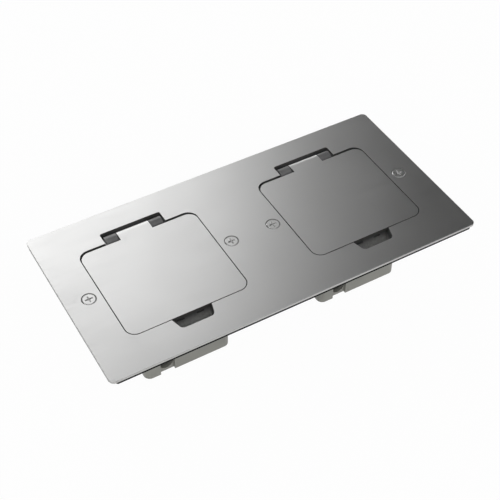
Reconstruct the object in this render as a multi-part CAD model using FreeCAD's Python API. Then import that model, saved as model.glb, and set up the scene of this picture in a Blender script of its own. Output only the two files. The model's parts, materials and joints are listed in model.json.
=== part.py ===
import FreeCAD
import Part
import math
import os

# Twin floor socket box: a stainless cover plate with two hinged lids, and
# under each lid an insert frame that carries an earthed socket in its body.
# Origin: middle of the gasket's underside, which is floor level.
# +X runs along the plate, +Y towards the hinges, +Z up. Millimetres.

# Socket face: its round well fits the plug, and the sizes around it follow
well_radius = 19.5
well_depth = 17.5
well_wall = 1.8
well_floor_thickness = 2.5
guide_rib_width = 4.6
guide_rib_reach = 2.0
guide_rib_drop = 1.5
pin_spacing = 19.0
pin_hole_radius = 2.75
plug_pin_length = 19.0
plug_pin_end_room = 0.6
face_skirt_margin = 1.0
face_skirt_clearance = 0.2
face_skirt_below_tray = 0.5
face_rim_overhang = 2.2
face_rim_thickness = 2.0
face_rim_corner = 4.0

# Insert frame: the tray under the lid, and the flange under the plate
tray_side_room = 6.5
tray_end_room = 3.2
tray_corner_radius = 4.0
tray_wall = 2.0
tray_shell_cut = 3.5
tray_floor_thickness = 3.0
under_lid_space = 5.0
frame_corner_cut = 3.0
flange_before_notch = 5.2

# Rubber seal in a groove round the tray, which the lid closes on
seal_groove_inset = 0.8
seal_groove_cut = 2.5
seal_width = 1.5
seal_height = 1.75
seal_clearance = 0.05

# Stainless sheet that the plate, the lids and the hinge brackets are made of
sheet_thickness = 2.0
plate_margin = 8.5
unit_gap = 17.0
plate_corner_radius = 2.8

# Gasket between the plate and the floor
gasket_thickness = 1.0
gasket_inset = 0.25
gasket_corner_cut = 3.5
gasket_frame_gap = 1.0

# Lid and its opening in the plate
lid_side_bearing = 4.0
lid_end_bearing = 5.2
opening_corner_radius = 6.0
lid_side_gap = 0.35
lid_back_gap = 1.45
lid_back_relief = 0.5

# Hinge at the back of each lid
pin_radius = 1.5
running_clearance = 0.05
hinge_setback = 3.4
knuckle_swing_room = 0.85
knuckle_front_gap = 0.4
knuckle_side_gap = 0.3
lid_tongue_width = 19.2
hinge_notch_width = 36.1
hinge_notch_corner = 1.2
roll_seam_gap = 0.3
pin_end_inset = 0.4
bracket_leaf_length = 6.35
bracket_edge_margin = 0.35
bracket_side_margin = 0.95

# Finger notch at the front of each lid, and the scoop under it
notch_depth = 7.5
notch_back_width = 22.8
notch_front_width = 18.6
notch_corner_radius = 2.75
scoop_under_lid = 1.55
scoop_depth = 7.0
scoop_wall = 1.8
scoop_front_radius = 5.0
drain_slot_length = 4.3
drain_slot_height = 1.1
drain_slot_offset = 5.7
drain_slot_drop = 3.2

# Fixing screws, countersunk M4, whose pitch comes to the 84 mm of such boxes
fixing_web = 7.0
fixing_edge_distance = 4.5
fixing_thread_radius = 2.0
fixing_shank_radius = 1.9
fixing_hole_radius = 2.25
fixing_head_radius = 3.65
fixing_countersink_radius = 4.0
fixing_length = 20.0
fixing_head_recess = 0.1
fixing_thread_start = 0.4
thread_clearance = 0.05

# Lugs welded under the plate, pushed through slots and bent over below: the back
# ones hold the frame and the hinge bracket, the front ones hold the frame
lug_width = 5.0
lug_thickness = 1.0
lug_slot_clearance = 0.2
lug_leg_length = 3.6
lug_edge_distance = 1.5
back_lug_inset = 3.65
front_lug_offset = 26.0
front_lug_inset = 6.0

# Socket body, the grey plastic cup that clips under each frame
body_room = 2.25
body_corner_radius = 3.8
body_wall = 2.0
body_floor = 1.7
collar_reach = 5.75
collar_thickness = 3.0
collar_corner_cut = 4.0
clip_width = 8.0
clip_offset = 15.0
clip_gap = 0.15
clip_hook_reach = 1.1
clip_hook_height = 2.0
clip_hook_land = 0.6
cable_entry_radius = 4.1
cable_entry_x = -12.8
cable_entry_height = 6.0
entry_groove_margin = 0.15
entry_groove_depth = 1.6

# Centre screw that draws the face and the base together
centre_screw_radius = 1.5
centre_screw_head_radius = 2.75
centre_screw_head_height = 1.8
centre_screw_bite = 9.0
centre_screw_hole_clearance = 0.2

# Earth strap
strap_thickness = 1.0
strap_width = 8.0
strap_side_clearance = 0.2
strap_arm_inset = 0.5
strap_arm_height = 11.0
strap_arm_room = 1.2
strap_nose_reach = 1.6
strap_nose_height = 7.0
strap_tail_width = 5.0
strap_tail_gap = 0.1

# Socket base with a tower round each contact
base_margin = 0.2
base_corner_cut = 3.0
base_thickness = 11.4
tower_wall = 1.5
contact_side_room = 0.2
floor_room = 3.0

# Line and neutral contacts
contact_thickness = 0.8
contact_width = 6.0
contact_end_room = 0.4
jaw_mouth_half = 3.4
jaw_waist_half = 2.6
jaw_foot_half = 3.0
jaw_mouth_drop = 0.8
jaw_waist_drop = 4.0
tail_width = 5.0
tail_slot_clearance = 0.1

# Terminal clamps: a cage round each strip, with a spring leaf that grips the wire
clamp_thickness = 0.6
clamp_side_room = 0.4
clamp_length = 7.5
clamp_from_tower = 4.0
leaf_width = 4.4
leaf_end_inset = 2.0
leaf_lift = 0.9

# How far a cutting tool runs past the face that it cuts
cut_past = 1.0

# Points nearer than this are one point
same_point = 1e-6

# Plan sizes, from the well outwards
face_skirt_size = 2 * (well_radius + well_wall + face_skirt_margin)
face_rim_size = face_skirt_size + 2 * face_rim_overhang
tray_width = face_rim_size + 2 * tray_side_room
tray_depth = face_rim_size + 2 * tray_end_room
opening_width = tray_width + 2 * lid_side_bearing
opening_depth = tray_depth + 2 * lid_end_bearing
fixing_half_pitch = opening_width / 2 + fixing_web
frame_flange_width = 2 * (fixing_half_pitch + fixing_edge_distance)
roll_inner = pin_radius + running_clearance
roll_outer = roll_inner + sheet_thickness
hinge_room = hinge_setback + roll_outer + knuckle_swing_room
back_room = hinge_room + bracket_leaf_length + bracket_edge_margin
front_room = notch_depth + flange_before_notch
frame_flange_depth = front_room + opening_depth + back_room
unit_spacing = frame_flange_width + unit_gap
plate_length = unit_spacing + frame_flange_width + 2 * plate_margin
plate_width = frame_flange_depth + 2 * plate_margin
base_size = 2 * (well_radius + well_wall + base_margin)
body_inside = base_size + 2 * body_room
body_size = body_inside + 2 * body_wall
collar_size = body_size + 2 * collar_reach
pocket_width = 2 * (jaw_mouth_half + contact_thickness / 2 + contact_side_room)
pocket_depth = contact_width + 2 * contact_end_room
tower_size = pocket_width + 2 * tower_wall
clamp_width = tail_width + 2 * (clamp_side_room + clamp_thickness)

# Plan positions within one unit, measured from the unit's centre line
opening_centre_y = (front_room - back_room) / 2
opening_front = opening_centre_y - opening_depth / 2
opening_back = opening_centre_y + opening_depth / 2
lid_half_width = opening_width / 2 - lid_side_gap
lid_front = opening_front + lid_side_gap
lid_back = opening_back - lid_back_gap
hinge_y = opening_back + hinge_setback
hinge_notch_back = opening_back + hinge_room
bracket_back = hinge_notch_back + bracket_leaf_length
bracket_half_width = hinge_notch_width / 2 - bracket_side_margin
back_lug_offset = bracket_half_width - lug_edge_distance - lug_slot_clearance - lug_width / 2
notch_front = opening_front - notch_depth
scoop_back = lid_front + scoop_under_lid
tray_front = opening_centre_y - tray_depth / 2
body_front = opening_centre_y - body_size / 2
strap_arm_from_centre = well_radius - strap_arm_inset
clamp_front = opening_centre_y + tower_size / 2 + clamp_from_tower
clamp_back = clamp_front + clamp_length

# Levels
floor_level = 0.0
plate_under = floor_level + gasket_thickness
plate_top = plate_under + sheet_thickness
lid_under = plate_top - sheet_thickness
hinge_z = plate_top - roll_outer
leaf_top = hinge_z - roll_inner
leaf_under = leaf_top - sheet_thickness
flange_under = leaf_top
scoop_bottom = lid_under - scoop_depth
rim_top = lid_under - under_lid_space
tray_floor_top = rim_top - face_rim_thickness
tray_floor_under = tray_floor_top - tray_floor_thickness
collar_under = tray_floor_under - collar_thickness
well_floor_top = rim_top - well_depth
base_top = well_floor_top - well_floor_thickness
base_under = base_top - base_thickness
contact_foot_top = well_floor_top - plug_pin_length - plug_pin_end_room
contact_foot_under = contact_foot_top - contact_thickness
body_floor_top = contact_foot_under - floor_room
body_under = body_floor_top - body_floor


def vec(x, y, z):
    return FreeCAD.Vector(x, y, z)


def in_plan(level):
    return lambda u, v: vec(u, v, level)


def in_side(x):
    return lambda u, v: vec(x, u, v)


def in_front(y):
    return lambda u, v: vec(u, y, v)


def rounded_outline(corners, place):
    # corners are (u, v, radius); each radius becomes a tangent arc
    edges = []
    ends = []
    count = len(corners)
    for i in range(count):
        u, v, radius = corners[i]
        before = corners[i - 1]
        after = corners[(i + 1) % count]
        back = (before[0] - u, before[1] - v)
        ahead = (after[0] - u, after[1] - v)
        back_length = math.hypot(*back)
        ahead_length = math.hypot(*ahead)
        back = (back[0] / back_length, back[1] / back_length)
        ahead = (ahead[0] / ahead_length, ahead[1] / ahead_length)
        if radius <= 0:
            ends.append(((u, v), (u, v), None))
            continue
        cosine = back[0] * ahead[0] + back[1] * ahead[1]
        half = math.acos(max(-1.0, min(1.0, cosine))) / 2
        reach = radius / math.tan(half)
        start = (u + back[0] * reach, v + back[1] * reach)
        end = (u + ahead[0] * reach, v + ahead[1] * reach)
        middle = (back[0] + ahead[0], back[1] + ahead[1])
        length = math.hypot(*middle)
        to_arc = (radius / math.sin(half) - radius) / length
        bulge = (u + middle[0] * to_arc, v + middle[1] * to_arc)
        ends.append((start, end, bulge))
    for i in range(count):
        start, end, bulge = ends[i]
        following = ends[(i + 1) % count][0]
        if bulge:
            arc = Part.Arc(place(*start), place(*bulge), place(*end))
            edges.append(arc.toShape())
        if math.dist(end, following) > same_point:
            edges.append(Part.LineSegment(place(*end), place(*following)).toShape())
    return Part.Face(Part.Wire(edges))


def rectangle(x0, x1, y0, y1, radius):
    return [(x0, y0, radius), (x1, y0, radius), (x1, y1, radius), (x0, y1, radius)]


def block(x0, x1, y0, y1, z0, z1, radius=0.0):
    face = rounded_outline(rectangle(x0, x1, y0, y1, radius), in_plan(z0))
    return face.extrude(vec(0, 0, z1 - z0))


def centred_block(width, depth, centre_y, z0, z1, radius=0.0):
    half_width = width / 2
    half_depth = depth / 2
    return block(-half_width, half_width, centre_y - half_depth, centre_y + half_depth,
                 z0, z1, radius)


def grown_cut(cut, grow):
    # the corner cut that keeps an even distance when an outline grows
    return cut + grow * (2 - math.sqrt(2))


def cut_slab(width, depth, centre_y, z0, z1, cut):
    # a slab whose corners are cut off at 45 degrees
    x1 = width / 2
    y0 = centre_y - depth / 2
    y1 = centre_y + depth / 2
    corners = [
        (cut - x1, y0, 0), (x1 - cut, y0, 0), (x1, y0 + cut, 0), (x1, y1 - cut, 0),
        (x1 - cut, y1, 0), (cut - x1, y1, 0), (-x1, y1 - cut, 0), (-x1, y0 + cut, 0),
    ]
    return rounded_outline(corners, in_plan(z0)).extrude(vec(0, 0, z1 - z0))


def cylinder(radius, x, y, z0, z1):
    return Part.makeCylinder(radius, z1 - z0, vec(x, y, z0))


def turned(profile, x, y):
    # profile is (radius, z) points on one side of a vertical axis
    outline = [(r, z, 0) for r, z in profile]
    solid = rounded_outline(outline, in_front(0)).revolve(vec(0, 0, 0), vec(0, 0, 1), 360)
    solid.translate(vec(x, y, 0))
    return solid


def cut_all(shape, tools):
    return shape.cut(Part.makeCompound(tools))


def fuse_all(shapes):
    return shapes[0].multiFuse(shapes[1:]).removeSplitter()


def bent_strip(path, thickness, place):
    # a sheet strip seen on edge: the path is its middle line, with mitred bends
    left = []
    right = []
    for i, (u, v) in enumerate(path):
        u0, v0 = path[max(i - 1, 0)]
        u1, v1 = path[min(i + 1, len(path) - 1)]
        before = math.atan2(v - v0, u - u0) if i > 0 else math.atan2(v1 - v, u1 - u)
        after = math.atan2(v1 - v, u1 - u) if i < len(path) - 1 else before
        turn = (after - before + math.pi) % (2 * math.pi) - math.pi
        across = before + turn / 2 + math.pi / 2
        reach = thickness / 2 / math.cos(turn / 2)
        left.append((u + math.cos(across) * reach, v + math.sin(across) * reach, 0))
        right.append((u - math.cos(across) * reach, v - math.sin(across) * reach, 0))
    return rounded_outline(left + right[::-1], place)


# Cover plate and gasket

def unit_opening(z0, z1):
    # lid opening, hinge notch and finger notch of one unit
    lid_part = centred_block(opening_width, opening_depth, opening_centre_y, z0, z1,
                             opening_corner_radius)
    hinge_half = hinge_notch_width / 2
    hinge_part = rounded_outline([
        (-hinge_half, opening_back - hinge_setback, 0),
        (hinge_half, opening_back - hinge_setback, 0),
        (hinge_half, hinge_notch_back, hinge_notch_corner),
        (-hinge_half, hinge_notch_back, hinge_notch_corner),
    ], in_plan(z0))
    finger_part = finger_outline(0.0, opening_front + notch_corner_radius, z0)
    height = vec(0, 0, z1 - z0)
    return [lid_part, hinge_part.extrude(height), finger_part.extrude(height)]


def finger_outline(grow, back, level):
    half_back = notch_back_width / 2 + grow
    half_front = notch_front_width / 2 + grow
    radius = notch_corner_radius + grow
    corners = [
        (half_back, back, 0),
        (-half_back, back, 0),
        (-half_back, opening_front, 0),
        (-half_front, notch_front - grow, radius),
        (half_front, notch_front - grow, radius),
        (half_back, opening_front, 0),
    ]
    return rounded_outline(corners, in_plan(level))


def fixing_places():
    return [(-fixing_half_pitch, 0.0), (fixing_half_pitch, 0.0)]


def countersunk_hole(x, y):
    cone_depth = fixing_countersink_radius - fixing_hole_radius
    profile = [
        (0, plate_under - cut_past),
        (fixing_hole_radius, plate_under - cut_past),
        (fixing_hole_radius, plate_top - cone_depth),
        (fixing_countersink_radius, plate_top),
        (fixing_countersink_radius, plate_top + cut_past),
        (0, plate_top + cut_past),
    ]
    return turned(profile, x, y)


def cover_plate():
    plate = centred_block(plate_length, plate_width, 0.0, plate_under, plate_top,
                          plate_corner_radius)
    tools = []
    for side in (-1, 1):
        shift = vec(side * unit_spacing / 2, 0, 0)
        cuts = unit_opening(plate_under - cut_past, plate_top + cut_past)
        cuts += [countersunk_hole(x, y) for x, y in fixing_places()]
        for cut in cuts:
            cut.translate(shift)
            tools.append(cut)
    return cut_all(plate, tools)


def plate_gasket():
    sheet = cut_slab(plate_length - 2 * gasket_inset, plate_width - 2 * gasket_inset, 0.0,
                     floor_level, plate_under, gasket_corner_cut)
    tools = []
    for side in (-1, 1):
        hole = cut_slab(frame_flange_width + 2 * gasket_frame_gap,
                        frame_flange_depth + 2 * gasket_frame_gap, 0.0,
                        floor_level - cut_past, plate_under + cut_past,
                        grown_cut(frame_corner_cut, gasket_frame_gap))
        hole.translate(vec(side * unit_spacing / 2, 0, 0))
        tools.append(hole)
    return cut_all(sheet, tools)


# Hinge: the sheet runs flat to a point over the pin and then rolls round it

def rolled_sheet(flat_length, x0, x1):
    # flat part towards -Y above the axis, rolled over the back and under
    end_angle = math.pi - math.asin((roll_inner - roll_seam_gap) / roll_outer)
    middle_angle = (math.pi / 2 + end_angle) / 2 - math.pi

    def at(radius, angle):
        return vec(x0, radius * math.cos(angle), radius * math.sin(angle))

    outer = Part.Arc(at(roll_outer, math.pi / 2), at(roll_outer, middle_angle),
                     at(roll_outer, end_angle))
    inner = Part.Arc(at(roll_inner, end_angle), at(roll_inner, middle_angle),
                     at(roll_inner, math.pi / 2))
    flat_top = vec(x0, -flat_length, roll_outer)
    flat_under = vec(x0, -flat_length, roll_inner)
    edges = [
        Part.LineSegment(flat_top, at(roll_outer, math.pi / 2)).toShape(),
        outer.toShape(),
        Part.LineSegment(at(roll_outer, end_angle), at(roll_inner, end_angle)).toShape(),
        inner.toShape(),
        Part.LineSegment(at(roll_inner, math.pi / 2), flat_under).toShape(),
        Part.LineSegment(flat_under, flat_top).toShape(),
    ]
    return Part.Face(Part.Wire(edges)).extrude(vec(x1 - x0, 0, 0))


def lid():
    panel = block(-lid_half_width, lid_half_width, lid_front, lid_back,
                  lid_under, plate_top, opening_corner_radius - lid_side_gap)
    # the lower back edge is eased, so that it clears the plate as the lid rises
    eased = rounded_outline([
        (lid_back - lid_back_relief - cut_past, lid_under - cut_past, 0),
        (lid_back + cut_past, lid_under - cut_past, 0),
        (lid_back + cut_past, lid_under + lid_back_relief + cut_past, 0),
    ], in_side(-opening_width / 2))
    panel = panel.cut(eased.extrude(vec(opening_width, 0, 0)))
    half_tongue = lid_tongue_width / 2
    tongue = rolled_sheet(hinge_y - lid_back + sheet_thickness, -half_tongue, half_tongue)
    tongue.translate(vec(0, hinge_y, hinge_z))
    return fuse_all([panel, tongue])


def back_lug_places():
    y = frame_flange_depth / 2 - back_lug_inset
    return [(-back_lug_offset, y), (back_lug_offset, y)]


def front_lug_places():
    y = -frame_flange_depth / 2 + front_lug_inset
    return [(-front_lug_offset, y), (front_lug_offset, y)]


def lug_slots(places, under, top):
    half_width = lug_width / 2 + lug_slot_clearance
    half_depth = lug_thickness / 2 + lug_slot_clearance
    return [block(x - half_width, x + half_width, y - half_depth, y + half_depth,
                  under - cut_past, top + cut_past) for x, y in places]


def hinge_bracket():
    half_inner = lid_tongue_width / 2 + knuckle_side_gap
    pieces = []
    for x0, x1 in ((-bracket_half_width, -half_inner), (half_inner, bracket_half_width)):
        knuckle = rolled_sheet(bracket_back - hinge_y, x0, x1)
        knuckle.rotate(vec(0, 0, 0), vec(1, 0, 0), 180)
        knuckle.translate(vec(0, hinge_y, hinge_z))
        pieces.append(knuckle)
    leaf = block(-bracket_half_width, bracket_half_width, hinge_notch_back, bracket_back,
                 leaf_under, leaf_top)
    return cut_all(fuse_all(pieces + [leaf]), lug_slots(back_lug_places(), leaf_under, leaf_top))


def hinge_pin():
    half_length = bracket_half_width - pin_end_inset
    return Part.makeCylinder(pin_radius, 2 * half_length, vec(-half_length, hinge_y, hinge_z),
                             vec(1, 0, 0))


# Insert frame: flange under the plate, tray under the lid, scoop under the notch

def scoop_form(grow, top):
    plan = finger_outline(grow, scoop_back + grow, scoop_bottom - grow)
    plan = plan.extrude(vec(0, 0, top - scoop_bottom + grow))
    half = notch_back_width
    side = [
        (notch_front - grow, top, 0),
        (notch_front - grow, scoop_bottom - grow, scoop_front_radius + grow),
        (scoop_back + grow, scoop_bottom - grow, notch_corner_radius),
        (scoop_back + grow, top, 0),
    ]
    trough = rounded_outline(side, in_side(-half)).extrude(vec(2 * half, 0, 0))
    return plan.common(trough)


def tray_shell(grow, z0, z1, cut):
    return cut_slab(tray_width + 2 * grow, tray_depth + 2 * grow, opening_centre_y, z0, z1, cut)


def seal_ring(inset, width, z0, z1):
    # a ring whose inner side is the given inset away from the groove's inner side
    inner = seal_groove_inset + inset
    hole = tray_shell(inner, z0 - cut_past, z1 + cut_past, grown_cut(seal_groove_cut, inset))
    return tray_shell(inner + width, z0, z1, grown_cut(seal_groove_cut, inset + width)).cut(hole)


def body_clip(side, y):
    # a hook that springs over the edge of the socket body's collar
    outer = tray_width / 2 + tray_wall
    inner = collar_size / 2 + clip_gap
    hook = inner - clip_hook_reach
    profile = [
        (outer, tray_floor_top),
        (outer, collar_under - clip_hook_height),
        (inner, collar_under - clip_hook_height),
        (hook, collar_under - clip_hook_land),
        (hook, collar_under),
        (inner, collar_under),
        (inner, tray_floor_top),
    ]
    outline = [(side * x, z, 0) for x, z in profile]
    return rounded_outline(outline, in_front(y - clip_width / 2)).extrude(vec(0, clip_width, 0))


def insert_frame():
    flange = cut_slab(frame_flange_width, frame_flange_depth, 0.0,
                      flange_under, plate_under, frame_corner_cut)
    tray = tray_shell(tray_wall, tray_floor_under, plate_under, tray_shell_cut)
    scoop = scoop_form(scoop_wall, plate_under)
    clips = [body_clip(side, opening_centre_y + end * clip_offset)
             for side in (-1, 1) for end in (-1, 1)]
    frame = fuse_all([flange, tray, scoop] + clips)
    skirt_hole = face_skirt_size + 2 * face_skirt_clearance
    hinge_half = hinge_notch_width / 2 + running_clearance
    tools = [
        centred_block(tray_width, tray_depth, opening_centre_y, tray_floor_top,
                      plate_under + cut_past, tray_corner_radius),
        scoop_form(0.0, plate_under + cut_past),
        centred_block(skirt_hole, skirt_hole, opening_centre_y,
                      tray_floor_under - cut_past, tray_floor_top + cut_past),
        block(-hinge_half, hinge_half, hinge_y - roll_outer - knuckle_front_gap,
              hinge_notch_back, flange_under - cut_past, plate_under + cut_past),
        seal_ring(0.0, seal_width + 2 * seal_clearance,
                  lid_under - seal_height - seal_clearance, plate_under + cut_past),
    ]
    half_slot = drain_slot_length / 2
    slot_top = lid_under - drain_slot_drop + drain_slot_height / 2
    for side in (-1, 1):
        x = side * drain_slot_offset
        tools.append(block(x - half_slot, x + half_slot, scoop_back - running_clearance,
                           tray_front + cut_past, slot_top - drain_slot_height, slot_top))
    for x, y in fixing_places():
        tools.append(cylinder(fixing_hole_radius, x, y, flange_under - cut_past,
                              plate_under + cut_past))
    slots = lug_slots(back_lug_places() + front_lug_places(), flange_under, plate_under)
    return cut_all(frame, tools + slots)


def lid_seal():
    return seal_ring(seal_clearance, seal_width, lid_under - seal_height, lid_under)


# Fasteners

def plate_lug(x, y, under):
    # a strip down through the slots, bent over below the level it holds
    leg = under - lug_thickness / 2
    path = [(y, plate_under), (y, leg), (y - lug_leg_length, leg)]
    profile = bent_strip(path, lug_thickness, in_side(x - lug_width / 2))
    return profile.extrude(vec(lug_width, 0, 0))


def plate_lugs():
    lugs = [plate_lug(x, y, leaf_under) for x, y in back_lug_places()]
    lugs += [plate_lug(x, y, flange_under) for x, y in front_lug_places()]
    return Part.makeCompound(lugs)


def fixing_screw(x, y):
    top = plate_top - fixing_head_recess
    cone_end = top - (fixing_head_radius - fixing_shank_radius)
    tip = top - fixing_length
    thread_top = flange_under - fixing_thread_start
    return turned([
        (0, tip),
        (fixing_thread_radius, tip),
        (fixing_thread_radius, thread_top),
        (fixing_shank_radius, thread_top),
        (fixing_shank_radius, cone_end),
        (fixing_head_radius, top),
        (0, top),
    ], x, y)


def fixing_screws():
    return Part.makeCompound([fixing_screw(x, y) for x, y in fixing_places()])


# Socket body

def socket_body():
    cup = centred_block(body_size, body_size, opening_centre_y, body_under, collar_under,
                        body_corner_radius)
    collar = cut_slab(collar_size, collar_size, opening_centre_y,
                      collar_under, tray_floor_under, collar_corner_cut)
    shell = fuse_all([cup, collar])
    inside = centred_block(body_inside, body_inside, opening_centre_y,
                           body_floor_top, tray_floor_under + cut_past)
    groove_half = cable_entry_radius + entry_groove_margin
    groove_back = body_front + entry_groove_depth
    jog = block(cable_entry_x - groove_half - body_wall, cable_entry_x + groove_half + body_wall,
                body_front, groove_back + body_wall, body_floor_top, collar_under)
    groove = block(cable_entry_x - groove_half, cable_entry_x + groove_half,
                   body_front - cut_past, groove_back, body_under - cut_past, collar_under)
    entry = Part.makeCylinder(cable_entry_radius, entry_groove_depth + body_wall + 2 * cut_past,
                              vec(cable_entry_x, body_front - cut_past,
                                  body_under + cable_entry_height), vec(0, 1, 0))
    shell = cut_all(shell, [inside.cut(jog), groove, entry])
    # two low walls on the floor carry each tower of the base
    feet = [block(x - tower_size / 2, x + tower_size / 2,
                  opening_centre_y + side * tower_size / 4 - body_wall / 2,
                  opening_centre_y + side * tower_size / 4 + body_wall / 2,
                  body_floor_top - body_floor / 2, contact_foot_under)
            for x in (-pin_spacing / 2, pin_spacing / 2) for side in (-1, 1)]
    return fuse_all([shell] + feet)


# Socket face: rim on the tray floor, skirt through it, round well with guide ribs

def socket_face():
    y0 = opening_centre_y
    rim = centred_block(face_rim_size, face_rim_size, y0, tray_floor_top, rim_top, face_rim_corner)
    skirt = centred_block(face_skirt_size, face_skirt_size, y0,
                          tray_floor_under - face_skirt_below_tray, tray_floor_top)
    # the well is round inside and eight-sided outside
    tube_radius = well_radius + well_wall
    tube = cut_slab(2 * tube_radius, 2 * tube_radius, y0, base_top, tray_floor_top,
                    grown_cut(0.0, tube_radius))
    face = fuse_all([rim, skirt, tube]).cut(
        cylinder(well_radius, 0, y0, well_floor_top, rim_top + cut_past))
    ribs = []
    for side in (-1, 1):
        near = side * (well_radius - guide_rib_reach)
        far = side * (well_radius + well_wall / 2)
        ribs.append(block(min(near, far), max(near, far),
                          y0 - guide_rib_width / 2, y0 + guide_rib_width / 2,
                          well_floor_top - well_floor_thickness / 2, rim_top - guide_rib_drop))
    holes = [(0, centre_screw_radius + centre_screw_hole_clearance),
             (-pin_spacing / 2, pin_hole_radius), (pin_spacing / 2, pin_hole_radius)]
    tools = [cylinder(radius, x, y0, base_top - cut_past, well_floor_top + cut_past)
             for x, radius in holes]
    half_slot = strap_width / 2 + strap_side_clearance
    slot_top = base_top + strap_arm_height + strap_side_clearance
    for side in (-1, 1):
        near = y0 + side * (strap_arm_from_centre - strap_arm_room)
        far = y0 + side * (tube_radius + cut_past)
        tools.append(block(-half_slot, half_slot, min(near, far), max(near, far),
                           base_top - cut_past, slot_top))
    return cut_all(fuse_all([face] + ribs), tools)


def face_screw():
    x, y = 0, opening_centre_y
    head_top = well_floor_top + centre_screw_head_height
    head = cylinder(centre_screw_head_radius, x, y, well_floor_top, head_top)
    shank = cylinder(centre_screw_radius, x, y, base_top - centre_screw_bite, well_floor_top)
    return fuse_all([head, shank])


# Earth strap: flat across the base, arms up into the well, tail down to its clamp

def earth_strap():
    y0 = opening_centre_y
    middle = base_top - strap_thickness / 2
    arm = strap_arm_from_centre + strap_thickness / 2
    arm_top = base_top + strap_arm_height
    nose_y = arm - strap_nose_reach
    nose_z = base_top + strap_nose_height
    side = [
        (y0 - arm, arm_top),
        (y0 - nose_y, nose_z),
        (y0 - arm, base_top + strap_thickness),
        (y0 - arm, middle),
        (y0 + arm, middle),
        (y0 + arm, base_top + strap_thickness),
        (y0 + nose_y, nose_z),
        (y0 + arm, arm_top),
    ]
    saddle = bent_strip(side, strap_thickness, in_side(-strap_width / 2))
    drop = y0 + base_size / 2 + strap_tail_gap + strap_thickness / 2
    foot = contact_foot_under + strap_thickness / 2
    tail = bent_strip([
        (y0, middle),
        (drop, middle),
        (drop, foot),
        (clamp_front, foot),
    ], strap_thickness, in_side(-strap_tail_width / 2))
    strap = fuse_all([saddle.extrude(vec(strap_width, 0, 0)),
                      tail.extrude(vec(strap_tail_width, 0, 0))])
    return strap.cut(cylinder(centre_screw_radius + centre_screw_hole_clearance, 0, y0,
                              base_top - 2 * strap_thickness, base_top + cut_past))


# Socket base with two towers for the contacts

def socket_base():
    y0 = opening_centre_y
    base = cut_slab(base_size, base_size, y0, base_under, base_top, base_corner_cut)
    towers = []
    tools = []
    half_tower = tower_size / 2
    half_slot = tail_width / 2 + tail_slot_clearance
    for side in (-1, 1):
        x = side * pin_spacing / 2
        towers.append(block(x - half_tower, x + half_tower, y0 - half_tower, y0 + half_tower,
                            contact_foot_under, base_under))
        tools.append(block(x - pocket_width / 2, x + pocket_width / 2,
                           y0 - pocket_depth / 2, y0 + pocket_depth / 2,
                           contact_foot_under - cut_past, base_top + cut_past))
        tools.append(block(x - half_slot, x + half_slot, y0, y0 + tower_size,
                           contact_foot_under - cut_past, contact_foot_top + tail_slot_clearance))
    groove_half = strap_width / 2 + strap_side_clearance
    tools.append(block(-groove_half, groove_half, y0 - base_size, y0 + base_size,
                       base_top - strap_thickness, base_top + cut_past))
    tools.append(cylinder(centre_screw_radius + thread_clearance, 0, y0,
                          base_top - centre_screw_bite - thread_clearance, base_top + cut_past))
    return cut_all(fuse_all([base] + towers), tools)


def pole_contact(x):
    y0 = opening_centre_y
    foot = contact_foot_under + contact_thickness / 2
    mouth = base_top - jaw_mouth_drop
    waist = base_top - jaw_waist_drop
    jaw = bent_strip([
        (x - jaw_mouth_half, mouth),
        (x - jaw_waist_half, waist),
        (x - jaw_foot_half, foot),
        (x + jaw_foot_half, foot),
        (x + jaw_waist_half, waist),
        (x + jaw_mouth_half, mouth),
    ], contact_thickness, in_front(y0 - contact_width / 2))
    tail = block(x - tail_width / 2, x + tail_width / 2, y0, clamp_back,
                 contact_foot_under, contact_foot_top)
    return fuse_all([jaw.extrude(vec(0, contact_width, 0)), tail])


def terminal_clamp(x, strip_thickness):
    # the cage holds its strip on its floor, and the leaf slopes down from its front edge
    under = contact_foot_under - clamp_thickness
    half = clamp_width / 2
    cage = block(x - half, x + half, clamp_front, clamp_back, under, base_under)
    window = block(x - half + clamp_thickness, x + half - clamp_thickness,
                   clamp_front - cut_past, clamp_back + cut_past,
                   contact_foot_under, base_under - clamp_thickness)
    leaf = bent_strip([
        (clamp_front, base_under - clamp_thickness / 2),
        (clamp_front + clamp_thickness, base_under - clamp_thickness / 2),
        (clamp_back - leaf_end_inset, contact_foot_under + strip_thickness + leaf_lift),
    ], clamp_thickness, in_side(x - leaf_width / 2))
    return fuse_all([cage.cut(window), leaf.extrude(vec(leaf_width, 0, 0))])


def terminal_clamps():
    return Part.makeCompound([
        terminal_clamp(-pin_spacing / 2, contact_thickness),
        terminal_clamp(0.0, strap_thickness),
        terminal_clamp(pin_spacing / 2, contact_thickness),
    ])


def unit_pieces():
    return {
        "lid": lid(),
        "lid_seal": lid_seal(),
        "hinge_pin": hinge_pin(),
        "hinge_bracket": hinge_bracket(),
        "insert_frame": insert_frame(),
        "plate_lugs": plate_lugs(),
        "fixing_screws": fixing_screws(),
        "socket_body": socket_body(),
        "socket_face": socket_face(),
        "face_screw": face_screw(),
        "earth_strap": earth_strap(),
        "socket_base": socket_base(),
        "line_contact": pole_contact(-pin_spacing / 2),
        "neutral_contact": pole_contact(pin_spacing / 2),
        "terminal_clamps": terminal_clamps(),
    }


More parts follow.
